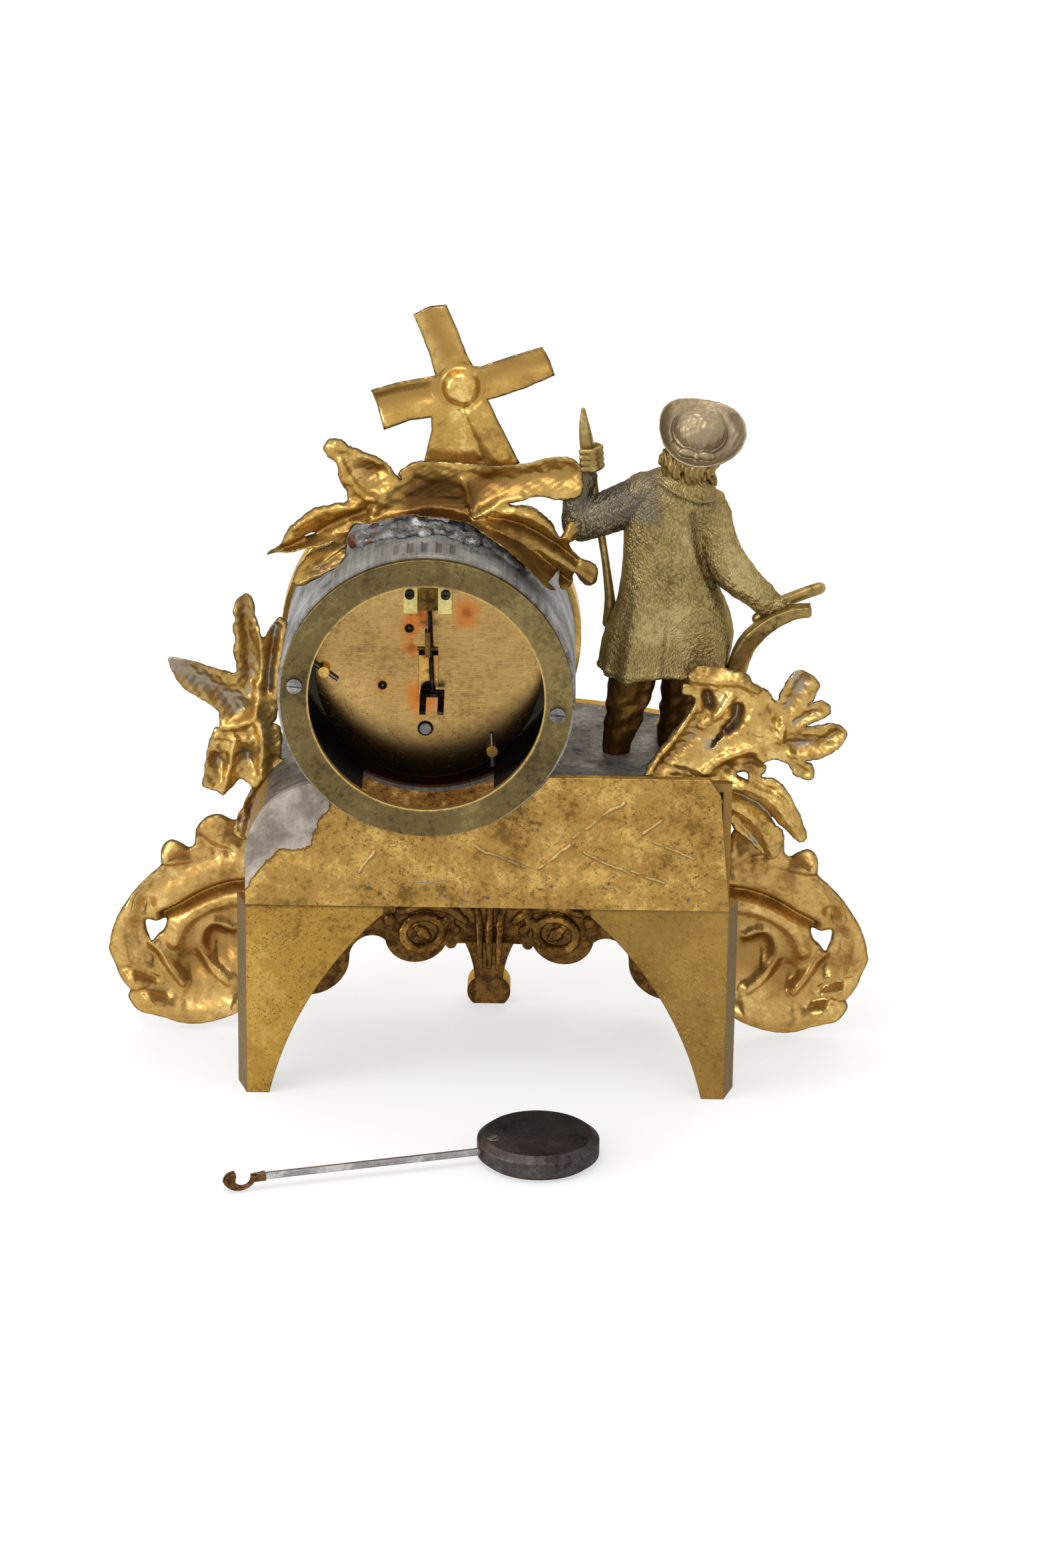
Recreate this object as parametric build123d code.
from build123d import *
import math
import os

os.makedirs("parts", exist_ok=True)

# Sizes in millimetres. X runs to the left as seen from behind, Y to the rear, Z up from the table.
# Depths are given from a plane through the middle of the movement, and save() moves them.

# Fits: a seated casting, a running pivot
SEAT_GAP = 0.2
PIVOT_GAP = 0.04

# Drum that holds the movement, its axis along Y
DRUM_X = 21.5
DRUM_Z = 149.5
DRUM_RADIUS = 51.0
DRUM_WALL = 2.5
DRUM_FRONT = -14.0
DRUM_LENGTH = 62.5
SLOT_WIDTH = 46.0
SLOT_LENGTH = 40.0
SLOT_MARGIN = 2.5

# Rear ring, its two screws and the straps that pull it against the bezel
RING_WIDTH = 9.6
RING_OVERLAP = 1.5
RING_THICK = 2.5
STRAP_WIDTH = 8.0
STRAP_THICK = 1.5
STRAP_TURN = 5.8
RING_SCREW_RADIUS = 1.5
RING_SCREW_HEAD = 2.6
RING_SCREW_HEAD_THICK = 1.6

# Base: a box of thin castings under and beside the drum
SEAM_Z = 71.8
BASE_HALF = 84.0
BASE_REAR = 48.0
PANEL_THICK = 3.0
PLATFORM_Z = 118.0
PANEL_LIP = 2.5
SHOULDER_Z = 86.0
FRONT_EDGE = -12.0
FRONT_BOW = 30.0
FRONT_WALL = 4.0
FOOT_DEPTH = 10.0
FOOT_STEP = 1.5

# Rear legs
LEG_DEPTH = 10.5
LEG_SETBACK = 0.5
LEG_FLARE = 3.5
LEG_TOE = 8.0
LEG_REACH = 48.0

# Side scrolls: thin plates with rolled ribs and round hollows
SCROLL_MIDDLE = -10.6
SCROLL_WALL = 2.4
RIM_RIB = 5.2
FOLD_RIB = 4.6
VOLUTE_RIB = 4.0
LUG_REACH = 5.0

# Cast leaves
LEAF_THICK = 3.0
LEFT_SPRAY_Y = 12.0
RIGHT_SPRAY_Y = 39.5
CREST_Y = 16.0
CREST_DEPTH = 12.0
CREST_TOP = 220.0

# Windmill on the crest
TOWER_HEIGHT = 23.0
TOWER_FOOT = 31.0
TOWER_HEAD = 17.0
TOWER_DEPTH = 11.0
TOWER_WALL = 2.0
SAIL_REACH = 30.5
SAIL_WIDTH = 11.0
SAIL_THICK = 2.0
SAIL_TURN = 21.0
HUB_RADIUS = 5.0

# Ploughman on the platform
FIGURE_X = -61.0
FIGURE_Y = 14.0
HEM_RISE = 30.0
COAT_HEIGHT = 64.0
HEM_HALF = 21.5
WAIST_HALF = 17.0
CHEST_HALF = 18.5
COAT_FLATNESS = 0.6
NECK_HALF = 5.0
LEG_RADIUS = 6.2
ANKLE_RADIUS = 4.4
BOOT_LENGTH = 17.0
HEAD_RADIUS = 8.3
HAT_RADIUS = 14.8
HAT_CROWN = 9.0
HAT_LEAN = 37.0
HAT_ROLL = 9.0
ARM_RADIUS = 5.0
WRIST_RADIUS = 3.6
HAND_RADIUS = 3.9
GOAD_RADIUS = 1.3
STILT_RADIUS = 2.3

# Bezel, glass and dial
BEZEL_LIP = 2.0
BEZEL_WIDTH = 8.5
BEZEL_DEPTH = 9.5
DIAL_THICK = 1.4
DIAL_REBATE = 3.5
GLASS_THICK = 1.5
GLASS_REBATE = 1.5
GLASS_SETBACK = 1.5
WINDING_HOLE = 3.6
PIPE_HOLE = 3.4

# Movement plates, from the rear face of the ring inward
PLATE_RADIUS = 39.2
PLATE_THICK = 2.0
PLATE_SPAN = 24.0
PLATE_INSET = 29.0
PILLAR_CIRCLE = 36.2
PILLAR_RADIUS = 3.0
PILLAR_TENON = 2.0
PILLAR_END = 3.2
PILLAR_ANGLES = (0.0, 231.7, 120.0)
PIN_RADIUS = 0.6
PIN_LENGTH = 12.0

# Arbor places on the plates, measured from the drum axis
BARREL_AT = (0.9, -21.2)
SECOND_AT = (15.9, -5.6)
THIRD_AT = (6.75, 15.6)
ESCAPE_AT = (-5.2, 19.3)
PALLET_AT = (0.0, 29.0)
MINUTE_AT = (-6.8, -6.8)

# Tooth counts
BARREL_TEETH = 84
SECOND_LEAVES = 12
SECOND_TEETH = 72
CENTRE_LEAVES = 12
CENTRE_TEETH = 96
THIRD_LEAVES = 8
THIRD_TEETH = 96
ESCAPE_LEAVES = 8
ESCAPE_TEETH = 36
CANNON_LEAVES = 12
MINUTE_TEETH = 36
MINUTE_LEAVES = 10
HOUR_TEETH = 40
RATCHET_TEETH = 24

# Wheels and arbors
WHEEL_THICK = 1.2
ARBOR_RADIUS = 0.9
PIVOT_RADIUS = 0.4
COLLET_RADIUS = 2.2
CENTRE_RADIUS = 1.1
BARREL_RADIUS = 17.0
BARREL_WALL = 1.0
BARREL_HEIGHT = 11.5
BARREL_ARBOR = 2.6
BARREL_HUB = 5.0
SPRING_THICK = 0.5
SPRING_TURNS = 8
SQUARE = 3.2
SQUARE_LENGTH = 10.5
ESCAPE_RADIUS = 8.0
RATCHET_RADIUS = 7.0
PALLET_CLEAR = 0.75

# Centre cock, suspension and crutch behind the back plate
COCK_WIDTH = 6.7
COCK_TOP = 5.7
COCK_BOTTOM = -9.0
COCK_OPEN = 2.0
BLUE_SCREW_HEAD = 2.6
BLUE_SCREW_SHANK = 1.1
BLUE_SCREW_THICK = 1.2
BRACKET_WIDTH = 16.5
BRACKET_HEIGHT = 11.0
BRACKET_DEPTH = 10.0
BRACKET_STAND = 6.0
BRACKET_FOOT = 1.7
CHOPS_WIDTH = 7.0
CHOPS_DEPTH = 5.0
FLAT_SPRING_THICK = 0.2
FLAT_SPRING_WIDTH = 3.6
FLAT_SPRING_DROP = 7.0
LINK_LENGTH = 11.0
LINK_THICK = 1.8
CROSS_PIN_RADIUS = 0.7
CROSS_PIN_LENGTH = 7.2
CRUTCH_LENGTH = 35.5
CRUTCH_ROD = 0.8
FORK_WIDTH = 8.4
FORK_LENGTH = 14.0
FORK_SLOT = 4.0
FORK_THICK = 1.2

# Hands and their pipes
CANNON_PIPE = 1.6
HOUR_PIPE = 2.5
HAND_THICK = 0.6
MINUTE_HAND = 36.0
HOUR_HAND = 25.0
MINUTE_SHOWN = 8.0
HOUR_SHOWN = 10.0

# Pendulum laid on the table behind the case
BOB_X = -19.0
BOB_Y = 97.0
BOB_RADIUS = 21.0
BOB_THICK = 9.0
BOB_BEVEL = 2.5
ROD_RADIUS = 1.3
ROD_SOCKET = 8.0
ROD_LENGTH = 78.0
ROD_TURN = 16.6
HOOK_LENGTH = 14.5
HOOK_HEIGHT = 6.4
HOOK_PLATE = 0.9
HOOK_OVERLAP = 3.0

# Derived depths
DRUM_REAR = DRUM_FRONT + DRUM_LENGTH
RING_REAR = DRUM_REAR + RING_THICK
RING_OUTER = DRUM_RADIUS - DRUM_WALL + RING_OVERLAP
BACK_PLATE_REAR = RING_REAR - PLATE_INSET
BACK_PLATE_FRONT = BACK_PLATE_REAR - PLATE_THICK
FRONT_PLATE_REAR = BACK_PLATE_FRONT - PLATE_SPAN
FRONT_PLATE_FRONT = FRONT_PLATE_REAR - PLATE_THICK
PANEL_FRONT = BASE_REAR - PANEL_THICK
DRUM_BORE = DRUM_RADIUS - DRUM_WALL
BEZEL_RADIUS = DRUM_RADIUS + BEZEL_LIP
FACE_OPENING = BEZEL_RADIUS + 2.0
FOOT_FRONT = FRONT_EDGE - FRONT_BOW - FOOT_STEP

# The finished pieces move together so that the origin is the middle of the front foot's sole
TO_SOLE = Pos(0, -FOOT_FRONT - FOOT_DEPTH / 2, 0)


def save(node, *solids):
    """Write one node, of one solid or of a group of equal ones."""
    placed = [TO_SOLE * solid for solid in solids]
    whole = placed[0] if len(placed) == 1 else Compound(children=placed)
    export_step(whole, "parts/" + node + ".step")


def bar(radius, front, rear, x=DRUM_X, z=DRUM_Z):
    """Round bar along Y between two depths."""
    return Pos(x, (front + rear) / 2, z) * Rot(90, 0, 0) * Cylinder(radius, rear - front)


def on_plate(at):
    """Place on the movement as an (x, z) pair of the whole frame."""
    return (DRUM_X + at[0], DRUM_Z + at[1])


def arbor_bar(radius, front, rear, at):
    """Round bar along Y on one of the movement's axes."""
    x, z = on_plate(at)
    return bar(radius, front, rear, x, z)


def block(x0, x1, y0, y1, z0, z1):
    """Box between two corners."""
    return Pos((x0 + x1) / 2, (y0 + y1) / 2, (z0 + z1) / 2) * Box(x1 - x0, y1 - y0, z1 - z0)


def slab(face, front, rear):
    """Face drawn in (x, z), made solid between two depths."""
    plane = Plane(origin=(0, rear, 0), x_dir=(1, 0, 0), z_dir=(0, -1, 0))
    return extrude(plane * face, amount=rear - front)


def polygon(points):
    """Straight-sided face."""
    return make_face(Polyline(*points, close=True))


def curved(points, closing=()):
    """Face of three-point arcs (end, middle, end, middle, end), closed by straight lines."""
    edges = []
    for i in range(0, len(points) - 2, 2):
        edges.append(ThreePointArc(points[i], points[i + 1], points[i + 2]))
    rest = [points[-1], *closing, points[0]]
    for a, b in zip(rest, rest[1:]):
        if a != b:
            edges.append(Line(a, b))
    return make_face(edges)


def rod(start, end, radius, end_radius=None):
    """Round bar between two points, tapered if the second radius is given."""
    axis = Vector(*end) - Vector(*start)
    plane = Plane(origin=start, z_dir=axis)
    first = plane * Circle(radius)
    if end_radius is None:
        return extrude(first, amount=axis.length)
    last = Plane(origin=end, z_dir=axis, x_dir=plane.x_dir) * Circle(end_radius)
    return loft([first, last])


def ball(at, radius):
    """Sphere at a point."""
    return Pos(*at) * Sphere(radius)


def leaf(base, tip, width, thick=LEAF_THICK):
    """Pointed blade from base to tip, its broad side to the rear."""
    along = Vector(*tip) - Vector(*base)
    across = along.cross(Vector(0, 1, 0))
    plane = Plane(origin=base, x_dir=along, z_dir=across.cross(along))
    reach = along.length
    low = [(0, -width / 4), (0.45 * reach, -width / 2), (reach, 0)]
    high = [(0.45 * reach, width / 2), (0, width / 4)]
    return extrude(plane * curved(low + high), amount=thick / 2, both=True)


def turned(shape, at, degrees):
    """Shape turned clockwise, as seen from the front, about an axis along Y."""
    x, z = at
    return Pos(x, 0, z) * Rot(0, degrees, 0) * Pos(-x, 0, -z) * shape


def fused(first, others):
    """One solid from a first body and those that grow out of it."""
    return first.fuse(*others)


def main_solid(shape):
    """The largest solid of a shape; the ends that a wall cuts off are dropped."""
    return shape.solids().sort_by(SortBy.VOLUME)[-1]


# Drum: bare cast tube, with a slot in its floor where the pendulum hangs through
drum = bar(DRUM_RADIUS, DRUM_FRONT, DRUM_REAR) - bar(DRUM_BORE, DRUM_FRONT - 1, DRUM_REAR + 1)
slot_rear = DRUM_REAR - SLOT_MARGIN
drum -= block(
    DRUM_X - SLOT_WIDTH / 2,
    DRUM_X + SLOT_WIDTH / 2,
    slot_rear - SLOT_LENGTH,
    slot_rear,
    DRUM_Z - DRUM_RADIUS - 1,
    DRUM_Z,
)
drum_room = bar(DRUM_RADIUS + SEAT_GAP, DRUM_FRONT - 1, DRUM_REAR + 2)
face_room = bar(FACE_OPENING, DRUM_FRONT - 90, DRUM_FRONT + 0.5)
save("drum", drum)

# Base castings: panel, shoulders, bowed front with apron and foot
lip_z = PLATFORM_Z + PANEL_LIP
shoulder_arc = [
    (BASE_HALF, SHOULDER_Z),
    (BASE_HALF - 6.0, SHOULDER_Z + 20.5),
    (BASE_HALF - 22.5, PLATFORM_Z - 1.0),
]
panel_face = curved(
    shoulder_arc,
    [
        (DRUM_X, PLATFORM_Z),
        (-20.0, lip_z),
        (-BASE_HALF + 8.0, lip_z),
        (-BASE_HALF + 4.0, lip_z - 6.0),
        (-BASE_HALF, SEAM_Z),
        (BASE_HALF, SEAM_Z),
    ],
)
back_panel = slab(panel_face, PANEL_FRONT, BASE_REAR) - drum_room
save("base_back_panel", back_panel)

bow_radius = (BASE_HALF**2 + FRONT_BOW**2) / (2 * FRONT_BOW)
bow_y = FRONT_EDGE - FRONT_BOW + bow_radius
bow_outer = Pos(0, bow_y, PLATFORM_Z / 2) * Cylinder(bow_radius, 3 * PLATFORM_Z)
bow_inner = Pos(0, bow_y, PLATFORM_Z / 2) * Cylinder(bow_radius - FRONT_WALL, 3 * PLATFORM_Z)
front_y = FRONT_EDGE - FRONT_BOW

platform = block(-BASE_HALF, DRUM_X, front_y, PANEL_FRONT, PLATFORM_Z - PANEL_THICK, PLATFORM_Z)
right_side = block(
    -BASE_HALF,
    -BASE_HALF + PANEL_THICK,
    front_y,
    PANEL_FRONT,
    SEAM_Z,
    PLATFORM_Z - PANEL_THICK,
)
right_shoulder = ((platform + right_side) & bow_inner) - drum_room - face_room
band_face = make_face(
    [
        ThreePointArc(*shoulder_arc),
        Line(shoulder_arc[2], (shoulder_arc[2][0] - 2.0, shoulder_arc[2][1] - PANEL_THICK)),
        ThreePointArc(
            (shoulder_arc[2][0] - 2.0, shoulder_arc[2][1] - PANEL_THICK),
            (shoulder_arc[1][0] - 2.3, shoulder_arc[1][1] - 2.0),
            (shoulder_arc[0][0] - PANEL_THICK, SHOULDER_Z),
        ),
        Line((shoulder_arc[0][0] - PANEL_THICK, SHOULDER_Z), shoulder_arc[0]),
    ]
)
left_side = block(BASE_HALF - PANEL_THICK, BASE_HALF, front_y, PANEL_FRONT, SEAM_Z, SHOULDER_Z)
left_band = slab(band_face, front_y, PANEL_FRONT)
left_shoulder = ((left_band + left_side) & bow_inner) - drum_room - face_room
save("base_shoulders", left_shoulder, right_shoulder)

front_upper = curved(
    shoulder_arc,
    [
        (DRUM_X, PLATFORM_Z),
        (-BASE_HALF + 8.0, PLATFORM_Z),
        (-BASE_HALF, PLATFORM_Z - 6.0),
        (-BASE_HALF, SEAM_Z),
        (BASE_HALF, SEAM_Z),
    ],
)
apron_half = curved(
    [(12.0, 22.0), (14.0, 20.0), (16.0, 21.5), (27.0, 15.3)]
    + [(BASE_HALF - 46.0, 25.0), (BASE_HALF - 39.0, 27.5), (BASE_HALF - 33.0, 20.0)]
    + [(BASE_HALF - 22.0, 8.0), (BASE_HALF - 10.0, 17.0), (BASE_HALF - 5.0, 20.0), (BASE_HALF, 16.0)],
    [(BASE_HALF, SEAM_Z), (0.0, SEAM_Z), (0.0, 22.0)],
)
foot_half = curved(
    [(5.6, 0.0), (7.9, 4.4), (5.2, 10.0), (6.2, 16.5), (9.0, 24.0)],
    [(0.0, 24.0), (0.0, 0.0)],
)
front_face = front_upper + apron_half + mirror(apron_half, about=Plane.YZ)
foot_face = foot_half + mirror(foot_half, about=Plane.YZ)
base_front = (bow_outer - bow_inner) & slab(front_face, front_y - 1, FRONT_EDGE + FRONT_BOW)
base_front -= face_room
base_front += slab(foot_face, FOOT_FRONT, FOOT_FRONT + FOOT_DEPTH)
save("base_front", base_front)

# Rear legs: an arch between them, the outer faces flaring towards the front


def leg_face(outer):
    """Rear-leg outline in (x, z) for a given outer edge."""
    toe = BASE_HALF - LEG_TOE
    top = BASE_HALF - LEG_REACH
    middle = (top + 0.59 * (toe - top), 0.56 * SEAM_Z)
    return curved([(top, SEAM_Z - 3.0), middle, (toe, 0.0)], [(outer, 0.0), (outer, SEAM_Z), (top, SEAM_Z)])


leg_rear = BASE_REAR - LEG_SETBACK
leg_planes = [
    Plane(origin=(0, leg_rear, 0), x_dir=(1, 0, 0), z_dir=(0, -1, 0)),
    Plane(origin=(0, leg_rear - LEG_DEPTH, 0), x_dir=(1, 0, 0), z_dir=(0, -1, 0)),
]
leg_sections = [leg_planes[0] * leg_face(BASE_HALF), leg_planes[1] * leg_face(BASE_HALF + LEG_FLARE)]
left_leg = loft(leg_sections, ruled=True)
save("rear_legs", left_leg, mirror(left_leg, about=Plane.YZ))

# Side scrolls: thin castings with a lobed edge and one opening, raised to the rear along three ribs and
# sunk in two hollows, on a lug against the bowed front
SCROLL_ARCS = [
    (BASE_HALF + 1.0, 9.5),
    (106.0, 0.8),
    (127.0, 5.6),
    (131.6, 9.5),
    (129.6, 14.3),
    (135.0, 19.8),
    (137.4, 29.0),
    (131.2, 47.8),
    (117.5, 64.0),
    (115.6, 72.6),
    (107.2, 69.8),
    (101.6, 81.4),
    (91.5, 80.0),
    (88.0, 78.5),
    (BASE_HALF + 1.0, 76.0),
]
SCROLL_HOLE = [(123.5, 42.0), (119.8, 43.6), (116.0, 41.6), (117.6, 35.4), (123.5, 42.0)]
RIM_LINE = [(117.0, 66.0), (130.0, 49.0), (131.6, 32.0), (123.5, 13.5), (107.0, 6.0), (92.0, 8.0)]
FOLD_LINE = [(BASE_HALF + 1.0, 63.0), (105.0, 57.5), (125.0, 47.5)]
VOLUTE_LINE = [(BASE_HALF + 2.0, 51.0), (102.0, 46.5), (113.5, 33.0)]
SCROLL_HOLLOWS = [((97.0, 32.0), 11.0, 6.5), ((109.0, 20.5), 8.0, 4.5)]


def rolled_rib(line, radius):
    """Round bar along a smooth line in the scroll's middle plane."""
    path = Spline(*[(x, SCROLL_MIDDLE, z) for x, z in line])
    start = Plane(origin=path @ 0, z_dir=path % 0)
    return sweep(start * Circle(radius), path=path)


def dip(spot, reach, depth, grow):
    """Ball that dips a given depth through the scroll's middle plane over a round patch."""
    radius = (reach**2 + depth**2) / (2.0 * depth)
    return ball((spot[0], SCROLL_MIDDLE - depth + radius, spot[1]), radius + grow)


scroll_ribs = [(RIM_LINE, RIM_RIB), (FOLD_LINE, FOLD_RIB), (VOLUTE_LINE, VOLUTE_RIB)]
scroll_rear = SCROLL_MIDDLE + RIM_RIB
plate_front = SCROLL_MIDDLE - SCROLL_WALL / 2
plate_rear = SCROLL_MIDDLE + SCROLL_WALL / 2
scroll_box = (BASE_HALF - 10, BASE_HALF + 60)
left_scroll = block(*scroll_box, plate_front, plate_rear, -10, 100)
for line, radius in scroll_ribs:
    left_scroll += rolled_rib(line, radius)
left_scroll -= block(*scroll_box, plate_front - 20, plate_front, -20, 110)
for line, radius in scroll_ribs:
    left_scroll -= rolled_rib(line, radius - SCROLL_WALL)
sunk = block(*scroll_box, SCROLL_MIDDLE - 20, SCROLL_MIDDLE, -20, 110)
for spot, reach, depth in SCROLL_HOLLOWS:
    left_scroll += dip(spot, reach, depth, SCROLL_WALL / 2) & sunk
for spot, reach, depth in SCROLL_HOLLOWS:
    left_scroll -= dip(spot, reach, depth, -SCROLL_WALL / 2)
left_scroll &= slab(curved(SCROLL_ARCS), plate_front - 20, scroll_rear + 5)
lug_front = FRONT_EDGE + 0.5
left_scroll += block(BASE_HALF, BASE_HALF + LUG_REACH, lug_front, scroll_rear, 24.0, 60.0)
left_scroll -= slab(curved(SCROLL_HOLE), plate_front - 5, scroll_rear + 5)
left_scroll = main_solid(left_scroll)
save("side_scroll_left", left_scroll)
save("side_scroll_right", mirror(left_scroll, about=Plane.YZ))

# Left spray: cast leaves rooted on the sloping shoulder
left_y = LEFT_SPRAY_Y
left_stem = rod((70.0, left_y, 106.0), (81.0, left_y, 134.0), 6.0, 4.5)
left_leaves = [
    leaf((79.0, left_y, 128.0), (112.6, left_y - 6.0, 147.0), 17.0),
    leaf((80.0, left_y, 130.0), (85.4, left_y + 4.0, 171.7), 12.0),
    leaf((80.5, left_y, 126.0), (75.0, left_y + 2.0, 164.0), 9.0),
    leaf((78.0, left_y, 124.0), (98.5, left_y - 4.0, 99.0), 19.0),
    leaf((73.0, left_y, 112.0), (91.0, left_y, 82.5), 20.0),
    ball((80.0, left_y, 130.0), 5.5),
]
left_spray = main_solid(fused(left_stem, left_leaves) - left_shoulder - drum_room)
save("leaf_spray_left", left_spray)

# Right spray: an open flower on a leafy stem, rooted on the platform's rear corner
right_y = RIGHT_SPRAY_Y
right_root = block(-82.0, -54.0, right_y - 4.0, right_y + 4.0, PLATFORM_Z, PLATFORM_Z + 6.0)
flower = (-106.0, right_y, 138.0)
right_pieces = [
    rod((-66.0, right_y, PLATFORM_Z + 3.0), flower, 5.0, 4.0),
    ball(flower, 6.0),
    leaf((-72.0, right_y, 122.0), (-68.0, right_y - 3.0, 160.5), 17.0),
    leaf((-80.0, right_y, 126.0), (-86.0, right_y - 4.0, 158.5), 15.0),
    leaf((-92.0, right_y, 131.0), (-98.4, right_y - 2.0, 149.0), 13.0),
    leaf((-105.0, right_y, 136.0), (-108.0, right_y - 2.0, 159.0), 13.0),
    leaf((-105.0, right_y, 138.0), (-117.6, right_y + 3.0, 148.0), 9.0),
    leaf((-104.0, right_y, 138.0), (-123.4, right_y, 135.5), 12.0),
    leaf((-102.0, right_y, 138.0), (-111.8, right_y + 2.0, 118.0), 12.0),
    leaf((-74.0, right_y, 124.0), (-110.0, right_y - 3.0, 97.5), 14.0),
    leaf((-72.0, right_y, 122.0), (-97.5, right_y - 1.0, 90.5), 15.0),
    leaf((-60.0, right_y, 121.0), (-90.0, right_y + 1.0, 122.0), 16.0),
]
right_spray = main_solid(fused(right_root, right_pieces) - right_shoulder - back_panel)
save("flower_spray_right", right_spray)

# Crest: a mound of leaves on top of the drum
crest_front = CREST_Y - CREST_DEPTH / 2
crest_rear = CREST_Y + CREST_DEPTH / 2
mound_face = make_face(
    [
        ThreePointArc((46.0, 190.0), (40.0, 212.0), (24.0, CREST_TOP)),
        Line((24.0, CREST_TOP), (-8.0, CREST_TOP)),
        ThreePointArc((-8.0, CREST_TOP), (-18.0, 208.0), (-12.0, 184.0)),
        Line((-12.0, 184.0), (46.0, 190.0)),
    ]
)
mound = slab(mound_face, crest_front, crest_rear)
crest_leaves = [
    leaf((34.0, CREST_Y, 208.0), (56.5, CREST_Y + 2.0, 228.5), 15.0),
    ball((56.5, CREST_Y + 2.0, 228.0), 4.0),
    leaf((34.0, CREST_Y, 204.0), (77.0, CREST_Y - 2.0, 189.2), 18.0),
    leaf((36.0, CREST_Y, 198.0), (68.0, CREST_Y + 3.0, 177.5), 14.0),
    leaf((4.0, CREST_Y, 208.5), (-31.5, CREST_Y + 5.0, 219.5), 12.5),
    leaf((4.0, CREST_Y, 206.0), (-30.5, CREST_Y + 5.0, 199.5), 14.0),
    leaf((0.0, CREST_Y, 202.0), (-36.0, CREST_Y + 4.0, 179.8), 15.0),
    leaf((-2.0, CREST_Y, 198.0), (-22.0, CREST_Y + 4.0, 176.5), 11.0),
]
crest = fused(mound, crest_leaves) - bar(DRUM_RADIUS, DRUM_FRONT - 1, DRUM_REAR + 1)
save("crest_foliage", crest)

# Windmill: hollow tower on the mound, four fixed sails on its front
tower_x = 7.0
tower_front = crest_front - 3.0
tower_rear = tower_front + TOWER_DEPTH
tower_top = CREST_TOP + TOWER_HEIGHT
tower_face = polygon(
    [
        (tower_x - TOWER_FOOT / 2, CREST_TOP),
        (tower_x + TOWER_FOOT / 2, CREST_TOP),
        (tower_x + TOWER_HEAD / 2 + 5.0, tower_top - 3.0),
        (tower_x + 4.5, tower_top),
        (tower_x - TOWER_HEAD / 2 + 3.0, tower_top - 1.0),
    ]
)
tower = slab(tower_face, tower_front, tower_rear)
tower -= slab(offset(tower_face, -TOWER_WALL), tower_front + TOWER_WALL, tower_rear + 1)
tower += block(tower_x - 6.0, tower_x + 6.0, crest_front, tower_rear, CREST_TOP, CREST_TOP + TOWER_WALL)
save("windmill_tower", tower)
hub_x = tower_x + 4.4
hub_z = tower_top + 3.5
sail_rear = tower_front
sail_face = polygon(
    [
        (hub_x - 2.0, hub_z),
        (hub_x - SAIL_WIDTH / 2, hub_z + 0.45 * SAIL_REACH),
        (hub_x - SAIL_WIDTH / 2, hub_z + SAIL_REACH),
        (hub_x + SAIL_WIDTH / 2, hub_z + SAIL_REACH),
        (hub_x + SAIL_WIDTH / 2, hub_z + 0.45 * SAIL_REACH),
        (hub_x + 2.0, hub_z),
    ]
)
one_sail = slab(sail_face, sail_rear - SAIL_THICK, sail_rear)
sails = [turned(one_sail, (hub_x, hub_z), SAIL_TURN + 90 * i) for i in range(4)]
hub = bar(HUB_RADIUS, sail_rear - SAIL_THICK - 1.5, sail_rear, hub_x, hub_z)
save("windmill_sails", fused(hub, sails))

# Ploughman: legs, coat, head with hat, two arms, goad and plough
hem_z = PLATFORM_Z + HEM_RISE
neck_z = hem_z + COAT_HEIGHT


def girth(half, rise, shift=0.0):
    """Level oval section of the coat."""
    return Pos(FIGURE_X + shift, FIGURE_Y, hem_z + rise * COAT_HEIGHT) * Ellipse(half, half * COAT_FLATNESS)


coat = loft(
    [
        girth(HEM_HALF, 0.0, 1.0),
        girth(WAIST_HALF + 1.5, 0.28),
        girth(WAIST_HALF, 0.5, -0.5),
        girth(CHEST_HALF, 0.76, -1.0),
        girth(0.8 * CHEST_HALF, 0.93, -2.0),
        girth(NECK_HALF, 1.0, -5.0),
    ]
)
save("figure_coat", coat)


def figure_leg(boot_x, boot_y, hip_x, toe_turn):
    """Breeches, stocking and boot in one, standing on the platform."""
    boot_z = PLATFORM_Z
    sole = Pos(boot_x, boot_y, boot_z + 2.5) * Rot(0, 0, toe_turn) * Box(7.0, BOOT_LENGTH, 5.0)
    calf = rod((boot_x, boot_y + 2.0, boot_z + 2.0), (hip_x, FIGURE_Y, hem_z), ANKLE_RADIUS, LEG_RADIUS)
    trim = block(-200, 200, -100, 100, hem_z, hem_z + 30)
    return fused(sole, [calf]) - trim


save("figure_legs", figure_leg(-45.0, 14.0, -48.0, -20.0), figure_leg(-66.0, 7.0, -64.0, 15.0))

head_at = (FIGURE_X - 7.0, FIGURE_Y - 1.8, neck_z + 15.5)
neck = rod((FIGURE_X - 5.0, FIGURE_Y, neck_z), head_at, NECK_HALF - 0.6)
hat_middle = Pos(head_at[0] - 2.2, head_at[1] + 1.8, head_at[2] + 6.8)
hat_tilt = hat_middle * Rot(0, -HAT_ROLL, 0) * Rot(-HAT_LEAN, 0, 0)
brim = hat_tilt * Cylinder(HAT_RADIUS, 3.0)
crown = hat_tilt * Pos(0, 0, HAT_CROWN / 2) * Cone(HAT_CROWN, HAT_CROWN - 2.5, HAT_CROWN)
face = ball((head_at[0], head_at[1] - 1.0, head_at[2]), HEAD_RADIUS)
hair_top = (head_at[0] - 0.5, head_at[1] + 3.0, head_at[2] + 2.0)
hair_foot = (hair_top[0], hair_top[1], head_at[2] - 6.5)
hair = rod(hair_top, hair_foot, HEAD_RADIUS - 1.0, HEAD_RADIUS - 2.0)
save("figure_head", fused(neck, [face, hair, brim, crown]) - coat)

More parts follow.
